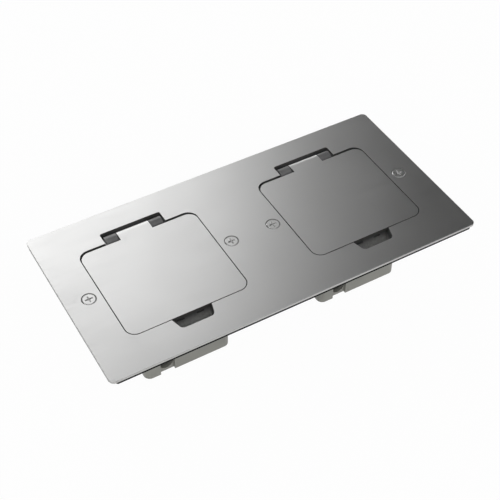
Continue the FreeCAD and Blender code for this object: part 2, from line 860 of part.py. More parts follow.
def main():
    os.makedirs("parts", exist_ok=True)
    pieces = {"cover_plate": cover_plate(), "plate_gasket": plate_gasket()}
    for name, shape in unit_pieces().items():
        for hand, side in (("left", -1), ("right", 1)):
            placed = shape.copy()
            placed.translate(vec(side * unit_spacing / 2, 0, 0))
            pieces[f"{hand}_{name}"] = placed
    for name, shape in pieces.items():
        shape.exportStep(f"parts/{name}.step")
        print(name, "solids", len(shape.Solids), "volume", round(shape.Volume, 1),
              "valid", shape.isValid())
    print("plate", round(plate_length, 3), "by", round(plate_width, 3),
          "fixing pitch", round(2 * fixing_half_pitch, 3))
    print("hinge axis y", round(hinge_y, 3), "z", round(hinge_z, 3))
    print("body underside", round(body_under, 3), "plate top", plate_top)


main()
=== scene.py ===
import json
import math
import bmesh
import bpy
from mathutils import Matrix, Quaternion, Vector


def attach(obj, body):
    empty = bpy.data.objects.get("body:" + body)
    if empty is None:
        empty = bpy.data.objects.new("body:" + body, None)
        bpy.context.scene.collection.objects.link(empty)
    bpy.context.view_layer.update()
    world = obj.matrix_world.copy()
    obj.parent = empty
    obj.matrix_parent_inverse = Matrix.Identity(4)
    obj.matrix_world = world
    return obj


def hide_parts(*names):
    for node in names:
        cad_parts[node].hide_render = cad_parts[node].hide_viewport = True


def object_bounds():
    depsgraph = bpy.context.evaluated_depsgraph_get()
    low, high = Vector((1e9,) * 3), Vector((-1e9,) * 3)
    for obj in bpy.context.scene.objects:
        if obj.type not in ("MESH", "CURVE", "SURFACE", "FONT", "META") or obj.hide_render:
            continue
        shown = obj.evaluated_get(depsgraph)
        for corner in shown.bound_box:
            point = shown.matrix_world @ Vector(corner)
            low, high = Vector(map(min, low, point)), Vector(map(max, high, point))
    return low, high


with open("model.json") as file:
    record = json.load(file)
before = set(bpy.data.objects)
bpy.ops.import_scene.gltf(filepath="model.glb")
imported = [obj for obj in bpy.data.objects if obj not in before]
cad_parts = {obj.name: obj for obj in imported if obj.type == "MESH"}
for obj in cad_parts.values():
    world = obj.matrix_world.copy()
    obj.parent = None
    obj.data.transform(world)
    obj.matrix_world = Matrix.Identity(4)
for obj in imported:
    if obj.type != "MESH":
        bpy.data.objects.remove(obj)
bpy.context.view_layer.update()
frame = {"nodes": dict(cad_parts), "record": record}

mm = 0.001
unitCentres = {"left": -55.0 * mm, "right": 55.0 * mm}
scene = bpy.context.scene


# camera

# its place, direction and lens are solved from the plate's edges and lids in the photo
cameraSetup = {
    "place": (-0.21004, -0.36402, 0.42653),
    "looking": (0.34470, 0.60022, -0.72175),
    "lens": 78.85,
    "sensor": 36.0,
    "shift": (-0.0016, 0.0021),
    "nearClip": 0.01,
}


def makeCamera():
    camera = bpy.data.cameras.new("camera")
    camera.lens = cameraSetup["lens"]
    camera.sensor_width = cameraSetup["sensor"]
    camera.shift_x, camera.shift_y = cameraSetup["shift"]
    camera.clip_start = cameraSetup["nearClip"]
    holder = bpy.data.objects.new("camera", camera)
    holder.location = cameraSetup["place"]
    looking = Vector(cameraSetup["looking"])
    holder.rotation_euler = looking.to_track_quat("-Z", "Y").to_euler()
    scene.collection.objects.link(holder)
    scene.camera = holder


makeCamera()
print("camera placed")


# steps that several node trees use

def putOrLink(tree, socket, value):
    # another node's output is linked to the socket, and a plain value is set on it
    if isinstance(value, bpy.types.NodeSocket):
        tree.links.new(value, socket)
    else:
        socket.default_value = value


def mathStep(tree, operation, *values):
    node = tree.nodes.new("ShaderNodeMath")
    node.operation = operation
    for socket, value in zip(node.inputs, values):
        putOrLink(tree, socket, value)
    return node.outputs[0]


def rangeStep(tree, value, fromLow, fromHigh, toLow=0.0, toHigh=1.0):
    node = tree.nodes.new("ShaderNodeMapRange")
    given = {"Value": value, "From Min": fromLow, "From Max": fromHigh,
             "To Min": toLow, "To Max": toHigh}
    for label, part in given.items():
        putOrLink(tree, node.inputs[label], part)
    return node.outputs[0]


def noiseStep(tree, place, scale, detail=2.0, roughness=0.5):
    node = tree.nodes.new("ShaderNodeTexNoise")
    given = {"Vector": place, "Scale": scale, "Detail": detail, "Roughness": roughness}
    for label, part in given.items():
        putOrLink(tree, node.inputs[label], part)
    return node.outputs[0]


# floor, lamps and world

# along darkTowards the room goes from its full grey at fullFrom to black at darkFrom
studio = {
    "floorWhite": 0.94,
    "floorGlow": 0.97,
    "floorReach": 30.0,
    "roomGrey": 0.3,
    "darkTowards": (0.5, 0.866, 0.0),
    "darkFrom": 0.3,
    "fullFrom": -0.5,
}

lamps = [
    # the tall window behind, which the satin plate mirrors
    {"name": "windowLamp", "azimuth": 2.4, "elevation": 27.7, "distance": 1.5,
     "width": 1.056, "height": 1.633, "roll": 2.2, "power": 9.35},
    # broad soft light from the camera's side, outside the plate's reflection
    {"name": "frontLamp", "azimuth": 196.0, "elevation": 32.0, "distance": 1.5,
     "width": 2.6, "height": 1.9, "roll": 0.0, "power": 8.0},
    # more of the same light that metal doesn't mirror, so that the views from behind stay grey
    {"name": "fillLamp", "azimuth": 196.0, "elevation": 32.0, "distance": 1.6,
     "width": 2.6, "height": 1.9, "roll": 0.0, "power": 11.0, "mirrored": False},
    # a low strip of light behind, which shows as a bright line along the rolled hinges
    {"name": "lowLamp", "azimuth": 26.0, "elevation": 9.0, "distance": 1.5,
     "width": 0.6, "height": 0.3, "roll": 0.0, "power": 1.2},
    # a small light from the left, which the screws and rounded edges catch
    {"name": "leftLamp", "azimuth": 280.0, "elevation": 30.0, "distance": 1.5,
     "width": 0.6, "height": 0.8, "roll": 0.0, "power": 2.4},
    # a dim light from the right, for the views from the left
    {"name": "sideLamp", "azimuth": 108.0, "elevation": 20.0, "distance": 1.5,
     "width": 1.2, "height": 0.9, "roll": 0.0, "power": 2.4},
]


def makeFloor():
    bm = bmesh.new()
    bmesh.ops.create_grid(bm, x_segments=2, y_segments=2, size=studio["floorReach"])
    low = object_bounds()[0][2]
    bmesh.ops.translate(bm, verts=bm.verts, vec=(0, 0, low))
    mesh = bpy.data.meshes.new("floor")
    bm.to_mesh(mesh)
    bm.free()
    floor = bpy.data.objects.new("floor", mesh)
    scene.collection.objects.link(floor)
    # it glows white for the camera and for mirrors, and is a plain pale floor for the light
    material = bpy.data.materials.new("paleFloor")
    material.use_nodes = True
    tree = material.node_tree
    nodes, links = tree.nodes, tree.links
    nodes.clear()
    out = nodes.new("ShaderNodeOutputMaterial")
    diffuse = nodes.new("ShaderNodeBsdfDiffuse")
    diffuse.inputs["Color"].default_value = (studio["floorWhite"],) * 3 + (1,)
    glow = nodes.new("ShaderNodeEmission")
    glow.inputs["Color"].default_value = (1, 1, 1, 1)
    path = nodes.new("ShaderNodeLightPath").outputs
    seen = mathStep(tree, "MAXIMUM", path["Is Camera Ray"], path["Is Glossy Ray"])
    seenThrough = mathStep(tree, "MAXIMUM", seen, path["Is Transmission Ray"])
    share = mathStep(tree, "MULTIPLY", seenThrough, studio["floorGlow"])
    mix = nodes.new("ShaderNodeMixShader")
    links.new(share, mix.inputs[0])
    links.new(diffuse.outputs[0], mix.inputs[1])
    links.new(glow.outputs[0], mix.inputs[2])
    links.new(mix.outputs[0], out.inputs["Surface"])
    mesh.materials.append(material)


def makeLamp(lamp):
    light = bpy.data.lights.new(lamp["name"], "AREA")
    light.shape = "RECTANGLE"
    light.size = lamp["width"]
    light.size_y = lamp["height"]
    light.energy = lamp["power"]
    azimuth = math.radians(lamp["azimuth"])
    elevation = math.radians(lamp["elevation"])
    towards = Vector((math.sin(azimuth) * math.cos(elevation),
                      math.cos(azimuth) * math.cos(elevation),
                      math.sin(elevation)))
    holder = bpy.data.objects.new(lamp["name"], light)
    holder.location = towards * lamp["distance"]
    rolled = Quaternion((0, 0, 1), math.radians(lamp["roll"]))
    holder.rotation_euler = (towards.to_track_quat("Z", "Y") @ rolled).to_euler()
    holder.visible_glossy = lamp.get("mirrored", True)
    scene.collection.objects.link(holder)


def makeWorld():
    # the room behind the camera is grey, and dark where the plate mirrors it in the photo
    world = bpy.data.worlds.new("studioWorld")
    scene.world = world
    world.use_nodes = True
    tree = world.node_tree
    background = tree.nodes["Background"]
    background.inputs["Color"].default_value = (1, 1, 1, 1)
    place = tree.nodes.new("ShaderNodeTexCoord")
    along = tree.nodes.new("ShaderNodeVectorMath")
    along.operation = "DOT_PRODUCT"
    along.inputs[1].default_value = studio["darkTowards"]
    tree.links.new(place.outputs["Generated"], along.inputs[0])
    strength = rangeStep(tree, along.outputs["Value"], studio["darkFrom"], studio["fullFrom"],
                         toHigh=studio["roomGrey"])
    tree.links.new(strength, background.inputs["Strength"])


makeFloor()
for lamp in lamps:
    makeLamp(lamp)
makeWorld()
scene.view_settings.view_transform = "Standard"
print("floor, lamps and world made")


# effects that several finishes share

# the values that Blender's noise mostly stays between, and their middle
noise = {"low": 0.3, "high": 0.7, "middle": 0.5}


def newGroup(name, inputs, outputs):
    group = bpy.data.node_groups.new(name, "ShaderNodeTree")
    for label, value in inputs.items():
        socket = group.interface.new_socket(label, in_out="INPUT", socket_type="NodeSocketFloat")
        socket.default_value = value
    for label in outputs:
        group.interface.new_socket(label, in_out="OUTPUT", socket_type="NodeSocketFloat")
    start = group.nodes.new("NodeGroupInput")
    end = group.nodes.new("NodeGroupOutput")
    return group, start.outputs, end.inputs


sheetGrain = {"fineness": 1800.0, "length": 0.02, "patchSize": 22.0, "detail": 3.0,
              "roughness": 0.6}


def makeGrainGroup():
    # long fine scratches along the sheet's length, with slow patches over them
    inputs = {"Fineness": sheetGrain["fineness"], "Length": sheetGrain["length"],
              "Patch Size": sheetGrain["patchSize"]}
    group, start, end = newGroup("sheetGrain", inputs, ["Grain", "Patches"])
    nodes, links = group.nodes, group.links
    place = nodes.new("ShaderNodeTexCoord").outputs["Object"]
    stretch = nodes.new("ShaderNodeCombineXYZ")
    stretch.inputs["Y"].default_value = 1.0
    stretch.inputs["Z"].default_value = 1.0
    links.new(start["Length"], stretch.inputs["X"])
    scaled = nodes.new("ShaderNodeVectorMath")
    scaled.operation = "MULTIPLY"
    links.new(place, scaled.inputs[0])
    links.new(stretch.outputs[0], scaled.inputs[1])
    grain = noiseStep(group, scaled.outputs[0], start["Fineness"], sheetGrain["detail"],
                      sheetGrain["roughness"])
    links.new(grain, end["Grain"])
    links.new(noiseStep(group, place, start["Patch Size"]), end["Patches"])
    return group


looseScratches = {"spacing": 45.0, "width": 0.004, "squeeze": (0.3, 1.5, 1.0), "detail": 1.0,
                  "breakScale": 70.0, "hiddenBelow": 0.5, "fullAbove": 0.62}


def makeScratchGroup():
    # a few thin wandering scratches, broken up by slow patches
    inputs = {"Spacing": looseScratches["spacing"], "Width": looseScratches["width"]}
    group, start, end = newGroup("looseScratches", inputs, ["Scratches"])
    place = group.nodes.new("ShaderNodeTexCoord").outputs["Object"]
    squeezed = group.nodes.new("ShaderNodeVectorMath")
    squeezed.operation = "MULTIPLY"
    squeezed.inputs[1].default_value = looseScratches["squeeze"]
    group.links.new(place, squeezed.inputs[0])
    wander = noiseStep(group, squeezed.outputs[0], start["Spacing"], looseScratches["detail"])
    away = mathStep(group, "ABSOLUTE", mathStep(group, "SUBTRACT", wander, noise["middle"]))
    thin = mathStep(group, "LESS_THAN", away, start["Width"])
    breaks = noiseStep(group, place, looseScratches["breakScale"])
    shown = rangeStep(group, breaks, looseScratches["hiddenBelow"], looseScratches["fullAbove"])
    group.links.new(mathStep(group, "MULTIPLY", thin, shown), end["Scratches"])
    return group


mouldTexture = {"pitScale": 2600.0, "mottleScale": 60.0, "mottleDetail": 4.0}


def makeMouldGroup():
    # spark-eroded mould texture: fine pits with a slower mottle
    inputs = {"Pit Scale": mouldTexture["pitScale"], "Mottle Scale": mouldTexture["mottleScale"]}
    group, start, end = newGroup("mouldTexture", inputs, ["Pits", "Mottle"])
    place = group.nodes.new("ShaderNodeTexCoord").outputs["Object"]
    pits = group.nodes.new("ShaderNodeTexVoronoi")
    pits.feature = "SMOOTH_F1"
    group.links.new(place, pits.inputs["Vector"])
    group.links.new(start["Pit Scale"], pits.inputs["Scale"])
    mottle = noiseStep(group, place, start["Mottle Scale"], mouldTexture["mottleDetail"])
    group.links.new(pits.outputs["Distance"], end["Pits"])
    group.links.new(mottle, end["Mottle"])
    return group


# the ring's line fades in from its outer to its inner distance, on faces that look down
ejectorMarks = {"pitch": 23.0 * mm, "radius": 2.2 * mm, "lineOuter": 0.16 * mm,
                "lineInner": 0.04 * mm, "facingBelow": -0.9}


def makeEjectorGroup():
    # the round marks that a mould's ejector pins leave on undersides, one in each square cell
    inputs = {"Pitch": ejectorMarks["pitch"], "Radius": ejectorMarks["radius"]}
    group, start, end = newGroup("ejectorMarks", inputs, ["Ring"])
    place = group.nodes.new("ShaderNodeTexCoord")
    parts = group.nodes.new("ShaderNodeSeparateXYZ")
    group.links.new(place.outputs["Object"], parts.inputs[0])
    squares = []
    for axis in ("X", "Y"):
        cell = mathStep(group, "DIVIDE", parts.outputs[axis], start["Pitch"])
        fromMiddle = mathStep(group, "SUBTRACT", mathStep(group, "FRACT", cell), 0.5)
        offset = mathStep(group, "MULTIPLY", fromMiddle, start["Pitch"])
        squares.append(mathStep(group, "MULTIPLY", offset, offset))
    reach = mathStep(group, "SQRT", mathStep(group, "ADD", *squares))
    away = mathStep(group, "ABSOLUTE", mathStep(group, "SUBTRACT", reach, start["Radius"]))
    ring = rangeStep(group, away, ejectorMarks["lineOuter"], ejectorMarks["lineInner"])
    facing = group.nodes.new("ShaderNodeSeparateXYZ")
    group.links.new(place.outputs["Normal"], facing.inputs[0])
    below = mathStep(group, "LESS_THAN", facing.outputs["Z"], ejectorMarks["facingBelow"])
    group.links.new(mathStep(group, "MULTIPLY", ring, below), end["Ring"])
    return group


# the finger scoop in front of each lid, from its back wall forwards, and the light painted into
# it
scoop = {"half": 12.0 * mm, "back": -31.7 * mm, "top": 1.0 * mm, "lowest": -6.1 * mm,
         "lightFrom": -0.8 * mm, "lightFull": -6.0 * mm, "lightPatchScale": 900.0, "leastShare": 0.7}


def makeScoopLightGroup():
    # painted light: lighter towards the bottom of the faces marked "scoop", in patches
    inputs = {"From": scoop["lightFrom"], "Full": scoop["lightFull"]}
    group, start, end = newGroup("paintedScoopLight", inputs, ["Settled"])
    place = group.nodes.new("ShaderNodeTexCoord").outputs["Object"]
    parts = group.nodes.new("ShaderNodeSeparateXYZ")
    group.links.new(place, parts.inputs[0])
    depth = rangeStep(group, parts.outputs["Z"], start["From"], start["Full"])
    mark = group.nodes.new("ShaderNodeAttribute")
    mark.attribute_name = "scoop"
    even = mathStep(group, "MULTIPLY", depth, mark.outputs["Fac"])
    lightPatches = noiseStep(group, place, scoop["lightPatchScale"])
    patchy = rangeStep(group, lightPatches, noise["low"], noise["high"], scoop["leastShare"])
    group.links.new(mathStep(group, "MULTIPLY", even, patchy), end["Settled"])
    return group


grainGroup = makeGrainGroup()
scratchGroup = makeScratchGroup()
mouldGroup = makeMouldGroup()
ejectorGroup = makeEjectorGroup()
scoopLightGroup = makeScoopLightGroup()


# finishes

def opaque(value):
    # a colour written as red, green and blue gets its alpha, and anything else is passed on
    return value + (1,) if isinstance(value, tuple) else value


def brightened(colour, amount):
    return tuple(min(1.0, amount * part) for part in colour)


class Finish:
    # one material under construction, with short calls for its nodes
    def __init__(self, name):
        self.material = bpy.data.materials.new(name)
        self.material.use_nodes = True
        self.tree = self.material.node_tree
        self.shader = self.tree.nodes["Principled BSDF"]

    def group(self, group, **values):
        node = self.tree.nodes.new("ShaderNodeGroup")
        node.node_tree = group
        for label, value in values.items():
            node.inputs[label.replace("_", " ")].default_value = value
        return node.outputs

    def mark(self, name):
        # a value stored on the faces: "rim" on eased edges, "cut" on a sheet's cut edges, and
        # the mark of painted shade on the edges inside the plate's outline
        node = self.tree.nodes.new("ShaderNodeAttribute")
        node.attribute_name = name
        return node.outputs["Fac"]

    def fromMark(self, mark, low, high):
        return rangeStep(self.tree, mark, 0.0, 1.0, low, high)

    def fromNoise(self, pattern, low, high):
        return rangeStep(self.tree, pattern, noise["low"], noise["high"], low, high)

    def around(self, pattern, middle, swing):
        return self.fromNoise(pattern, middle - swing, middle + swing)

    def add(self, first, second):
        return mathStep(self.tree, "ADD", first, second)

    def mix(self, factor, first, second):
        # for colours, a Mix node's inputs are numbers 6 and 7, and its result is number 2
        node = self.tree.nodes.new("ShaderNodeMix")
        node.data_type = "RGBA"
        putOrLink(self.tree, node.inputs[0], factor)
        putOrLink(self.tree, node.inputs[6], opaque(first))
        putOrLink(self.tree, node.inputs[7], opaque(second))
        return node.outputs[2]

    def bump(self, height, strength, depth):
        node = self.tree.nodes.new("ShaderNodeBump")
        node.inputs["Strength"].default_value = strength
        node.inputs["Distance"].default_value = depth
        self.tree.links.new(height, node.inputs["Height"])
        self.tree.links.new(node.outputs[0], self.shader.inputs["Normal"])

    def put(self, label, value):
        putOrLink(self.tree, self.shader.inputs[label], opaque(value))


# satin sheet has fine grain, slow patches and loose scratches, and duller cut edges, with
# painted shade on the cut edges inside the plate's outline
sheetLook = {"patchShare": 0.25, "edgeMetallic": 0.7, "grainRoughness": 0.03,
             "patchRoughness": 0.012, "scratchRoughness": 0.04, "edgeRoughness": 0.14,
             "bumpStrength": 0.12, "bumpDepth": 0.01 * mm}


def satinSheet(name, face, worn, edge, paintedShadeColour, roughness):
    finish = Finish(name)
    grain = finish.group(grainGroup)
    cut = finish.mark("cut")
    base = finish.mix(finish.fromNoise(grain["Patches"], 0, sheetLook["patchShare"]), face, worn)
    outer = finish.mix(cut, base, edge)
    # the edges inside the plate's outline are painted dark as shade
    finish.put("Base Color", finish.mix(finish.mark("paintedEdgeShade"), outer, paintedShadeColour))
    finish.put("Metallic", finish.fromMark(cut, 1.0, sheetLook["edgeMetallic"]))
    fine = finish.around(grain["Grain"], roughness, sheetLook["grainRoughness"])
    slow = finish.around(grain["Patches"], 0, sheetLook["patchRoughness"])
    scratches = finish.group(scratchGroup)["Scratches"]
    scratched = finish.fromMark(scratches, 0, sheetLook["scratchRoughness"])
    rougher = finish.fromMark(cut, 0, sheetLook["edgeRoughness"])
    finish.put("Roughness", finish.add(finish.add(fine, slow), finish.add(rougher, scratched)))
    finish.bump(grain["Grain"], sheetLook["bumpStrength"], sheetLook["bumpDepth"])
    return finish.material


# plain metal tarnishes in patches, and its edges are rubbed brighter and smoother
metalLook = {"fineness": 900.0, "length": 1.0, "patchSize": 90.0, "rimShare": 0.6,
             "rimBrightness": 1.2, "grainRoughness": 0.05, "rimPolish": 0.14,
             "bumpStrength": 0.1, "bumpDepth": 0.01 * mm}


def plainMetal(name, colour, tarnish, roughness, metallic=1.0):
    finish = Finish(name)
    grain = finish.group(grainGroup, Fineness=metalLook["fineness"], Length=metalLook["length"],
                         Patch_Size=metalLook["patchSize"])
    rim = finish.mark("rim")
    base = finish.mix(finish.fromNoise(grain["Patches"], 0, 1), colour, tarnish)
    rubbed = finish.fromMark(rim, 0, metalLook["rimShare"])
    bright = brightened(colour, metalLook["rimBrightness"])
    finish.put("Base Color", finish.mix(rubbed, base, bright))
    finish.put("Metallic", metallic)
    fine = finish.around(grain["Grain"], roughness, metalLook["grainRoughness"])
    finish.put("Roughness", finish.add(fine, finish.fromMark(rim, 0, -metalLook["rimPolish"])))
    finish.bump(grain["Grain"], metalLook["bumpStrength"], metalLook["bumpDepth"])
    return finish.material


# moulded pieces have pits, a mottle and lighter rubbed edges, and ejector marks or painted light
# where asked
mouldedLook = {"rimShare": 0.5, "rimBrightness": 1.18, "mottleRoughness": 0.04,
               "bumpStrength": 0.35}


def moulded(name, colour, shade, roughness, pitDepth, pitScale=mouldTexture["pitScale"],
            gloss=0.5, markDepth=0, paintedLight=None):
    finish = Finish(name)
    texture = finish.group(mouldGroup, Pit_Scale=pitScale)
    base = finish.mix(finish.fromNoise(texture["Mottle"], 0, 1), colour, shade)
    rubbed = finish.fromMark(finish.mark("rim"), 0, mouldedLook["rimShare"])
    base = finish.mix(rubbed, base, brightened(colour, mouldedLook["rimBrightness"]))
    # painted light, lighter towards the bottom of the finger scoop
    if paintedLight:
        base = finish.mix(finish.group(scoopLightGroup)["Settled"], base, paintedLight)
    finish.put("Base Color", base)
    uneven = finish.around(texture["Mottle"], roughness, mouldedLook["mottleRoughness"])
    finish.put("Roughness", uneven)
    finish.put("Specular IOR Level", gloss)
    height = texture["Pits"]
    if markDepth:
        ring = finish.group(ejectorGroup)["Ring"]
        height = finish.add(height, finish.fromMark(ring, 0, -markDepth / pitDepth))
    finish.bump(height, mouldedLook["bumpStrength"], pitDepth)
    return finish.material


finishes = {
    "satin_stainless": satinSheet(
        "satinStainless", face=(0.72, 0.72, 0.715), worn=(0.69, 0.69, 0.685),
        # the last colour is painted shade for the edges inside the plate's outline
        edge=(0.5, 0.5, 0.49), paintedShadeColour=(0.13, 0.13, 0.125), roughness=0.371),
    "dark_coated_steel": plainMetal(
        "darkCoatedSteel", colour=(0.23, 0.23, 0.23), tarnish=(0.17, 0.17, 0.17),
        roughness=0.4, metallic=0.3),
    "black_rubber": moulded(
        "blackRubber", colour=(0.01, 0.01, 0.01), shade=(0.014, 0.014, 0.013),
        roughness=0.72, pitDepth=0.03 * mm, pitScale=1600.0, gloss=0.12),
    "dark_nylon": moulded(
        "darkNylon", colour=(0.062, 0.062, 0.064), shade=(0.07, 0.07, 0.07),
        # the last colour is painted light in the bottom of the finger scoop
        roughness=0.5, pitDepth=0.02 * mm, markDepth=0.15 * mm, paintedLight=(0.4, 0.4, 0.39)),
    "bright_steel": plainMetal(
        "zincSteel", colour=(0.62, 0.63, 0.64), tarnish=(0.54, 0.55, 0.57), roughness=0.3),
    "stainless_screw": plainMetal(
        "turnedStainless", colour=(0.72, 0.72, 0.715), tarnish=(0.69, 0.69, 0.685),
        roughness=0.371),
    "grey_plastic": moulded(
        "greyPlastic", colour=(0.255, 0.255, 0.23), shade=(0.235, 0.235, 0.212),
        roughness=0.45, pitDepth=0.02 * mm, markDepth=0.15 * mm),
    "pale_plastic": moulded(
        "palePlastic", colour=(0.72, 0.72, 0.7), shade=(0.7, 0.7, 0.675),
        roughness=0.32, pitDepth=0.01 * mm),
    "base_plastic": moulded(
        "basePlastic", colour=(0.33, 0.32, 0.29), shade=(0.3, 0.29, 0.265),
        roughness=0.55, pitDepth=0.02 * mm, markDepth=0.15 * mm),
    "nickelled_brass": plainMetal(
        "nickelledBrass", colour=(0.66, 0.62, 0.55), tarnish=(0.6, 0.56, 0.48), roughness=0.28),
    "brass": plainMetal(
        "brass", colour=(0.75, 0.57, 0.29), tarnish=(0.66, 0.47, 0.22), roughness=0.32),
}
print("finishes made")


# pieces finished from the frame's own solids

slots = {entry["node"]: entry["material_slot"] for entry in frame["record"]["subparts"]}
hingeAxis = {"y": 35.4 * mm, "z": -0.55 * mm, "rollRadius": 3.7 * mm, "endNormal": 0.5}
# further from the middle than this, an edge of the plate belongs to its outline
outlineFrom = {"x": 106.0 * mm, "y": 51.0 * mm}
# shade is how far the countersinks' edges are painted towards the dark shade colour
countersink = {"offset": 42.0 * mm, "reach": 4.3 * mm, "shade": 0.7}
# a face counts as level when its normal stands this upright
levelNormal = 0.98
# corners nearer than distance are joined, faces that turn by less than flatBelow degrees are
# merged, and an edge is shaded crisp from smoothMargin degrees above sharpAbove
joining = {"distance": 0.002 * mm, "flatBelow": 0.5, "smoothMargin": 8}

# easing is the width of the eased edges, and sharpAbove the angle from which an edge gets one;
# the plate's foot is its outer edge, found within footReach of its underside
pieceLooks = {
    "cover_plate": {"easing": 0.12 * mm, "steps": 2, "sharpAbove": 30,
                    "footChamfer": 0.65 * mm, "footReach": 0.01 * mm},
    "plate_gasket": {"easing": 0.1 * mm, "steps": 1, "sharpAbove": 40},
    "lid": {"easing": 0.12 * mm, "steps": 2, "sharpAbove": 30},
    "lid_seal": {"easing": 0.4 * mm, "steps": 3, "sharpAbove": 60},
    "hinge_pin": {"easing": 0.25 * mm, "steps": 2, "sharpAbove": 40},
    "hinge_bracket": {"easing": 0.15 * mm, "steps": 2, "sharpAbove": 30},
    "insert_frame": {"easing": 0.2 * mm, "steps": 2, "sharpAbove": 35},
    "plate_lugs": {"easing": 0.12 * mm, "steps": 2, "sharpAbove": 30},
    "socket_body": {"easing": 0.35 * mm, "steps": 3, "sharpAbove": 35},
    "socket_face": {"easing": 0.35 * mm, "steps": 3, "sharpAbove": 35},
    "earth_strap": {"easing": 0.1 * mm, "steps": 2, "sharpAbove": 40},
    "socket_base": {"easing": 0.2 * mm, "steps": 2, "sharpAbove": 35},
    "line_contact": {"easing": 0.08 * mm, "steps": 2, "sharpAbove": 40},
    "neutral_contact": {"easing": 0.08 * mm, "steps": 2, "sharpAbove": 40},
    "terminal_clamps": {"easing": 0.07 * mm, "steps": 2, "sharpAbove": 40},
}


def isCountersink(face):
    middle = face.calc_center_median()
    return abs(middle.y) < countersink["reach"] and any(
        abs(abs(middle.x - centre) - countersink["offset"]) < countersink["reach"]
        for centre in unitCentres.values())


def isCutEdge(face):
    # sheet metal shows its cut edge, except where it rolls round the hinge pin
    if abs(face.normal.z) > levelNormal:
        return False
    middle = face.calc_center_median()
    fromAxis = math.hypot(middle.y - hingeAxis["y"], middle.z - hingeAxis["z"])
    isRollEnd = abs(face.normal.x) > hingeAxis["endNormal"]
    return fromAxis > hingeAxis["rollRadius"] or isRollEnd


def isOutline(place):
    return abs(place.x) > outlineFrom["x"] or abs(place.y) > outlineFrom["y"]


def edgeShade(face):
    # painted shade: edges inside the plate's outline are painted dark, and its countersinks less
    # so
    if isOutline(face.calc_center_median()):
        return 0.0
    return countersink["shade"] if isCountersink(face) else 1.0


def isInScoop(face):
    middle = face.calc_center_median()
    fromCentre = min(abs(middle.x - centre) for centre in unitCentres.values())
    return (fromCentre < scoop["half"] and middle.y < scoop["back"]
            and scoop["lowest"] < middle.z < scoop["top"])


def shadedObject(bm, pieceName, sharpAbove):
    mesh = bpy.data.meshes.new(pieceName)
    bm.to_mesh(mesh)
    bm.free()
    for polygon in mesh.polygons:
        polygon.use_smooth = True
    mesh.set_sharp_from_angle(angle=math.radians(sharpAbove + joining["smoothMargin"]))
    piece = bpy.data.objects.new(pieceName, mesh)
    scene.collection.objects.link(piece)
    weighted = piece.modifiers.new("flatFaces", "WEIGHTED_NORMAL")
    weighted.keep_sharp = True
    return piece


def chamferFoot(bm, width, reach):
    # the plate's lower outer edge is chamfered, so that the gasket below it shows
    high = min(v.co.z for v in bm.verts) + reach
    edges = [e for e in bm.edges if all(v.co.z < high and isOutline(v.co) for v in e.verts)]
    bmesh.ops.bevel(bm, geom=edges, offset=width, offset_type="OFFSET", affect="EDGES",
                    segments=1, profile=0.5, material=-1, clamp_overlap=True)


def finishedCopy(nodeName, pieceName, look):
    # the solid's shape with its loose triangles joined and its edges eased
    bm = bmesh.new()
    bm.from_mesh(frame["nodes"][nodeName].data)
    bmesh.ops.remove_doubles(bm, verts=bm.verts, dist=joining["distance"])
    bmesh.ops.dissolve_limit(bm, angle_limit=math.radians(joining["flatBelow"]), verts=bm.verts,
                             edges=bm.edges)
    if "footChamfer" in look:
        chamferFoot(bm, look["footChamfer"], look["footReach"])
    rim = bm.faces.layers.float.new("rim")
    cut = bm.faces.layers.float.new("cut")
    paintedEdgeShade = bm.faces.layers.float.new("paintedEdgeShade")
    inScoop = bm.faces.layers.float.new("scoop")
    for face in bm.faces:
        face[cut] = 1.0 if isCutEdge(face) else 0.0
        # painted shade on the cut edges inside the plate's outline
        face[paintedEdgeShade] = face[cut] * edgeShade(face)
        face[inScoop] = 1.0 if isInScoop(face) else 0.0
    sharp = [e for e in bm.edges if len(e.link_faces) == 2
             and e.calc_face_angle(0) > math.radians(look["sharpAbove"])]
    eased = bmesh.ops.bevel(bm, geom=sharp, offset=look["easing"], offset_type="OFFSET",
                            affect="EDGES", segments=look["steps"], profile=0.5, material=-1,
                            clamp_overlap=True)
    for face in eased["faces"]:
        face[rim] = 1.0
        face[cut] = 1.0
        # the eased edges inside the outline get the painted shade as well
        face[paintedEdgeShade] = edgeShade(face)
    return shadedObject(bm, pieceName, look["sharpAbove"])


def dress(piece, nodeName):
    piece.data.materials.clear()
    piece.data.materials.append(finishes[slots[nodeName]])
    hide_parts(nodeName)
    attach(piece, f"{nodeName}_body" if nodeName.endswith("_lid") else "box")


def finishPieces():
    for name, look in pieceLooks.items():
        if name in frame["nodes"]:
            dress(finishedCopy(name, f"{name}_finished", look), name)
            continue
        for hand in unitCentres:
            node = f"{hand}_{name}"
            dress(finishedCopy(node, f"{node}_finished", look), node)


finishPieces()
print("pieces finished")


# screws, with the cross recess and the thread that the plain solids leave out

# in millimetres: turned and tip are outlines of radius and level, and the cross slopes from
# its arms' ends, endDepth below the top, down to its middle
fixingScrew = {
    "places": [(-42.0, 0.0), (42.0, 0.0)],
    "turned": [(3.35, 2.9), (3.47, 2.84), (3.57, 2.77), (3.63, 2.7), (3.59, 2.64),
               (1.9, 1.0), (1.9, -2.35), (1.75, -2.5), (1.2, -2.5)],
    "tip": [(1.6, -16.9), (1.3, -17.1), (0.0, -17.1)],
    "cross": {"top": 2.9, "reach": 2.15, "half": 0.5, "endDepth": 0.35, "depth": 1.4,
              "lowerReach": 2.0, "lowerHalf": 0.4},
    "thread": {"top": -2.5, "bottom": -16.9, "pitch": 0.7, "root": 1.6, "crest": 1.98,
               "segments": 24},
    "segments": 48, "sharpAbove": 12,
}

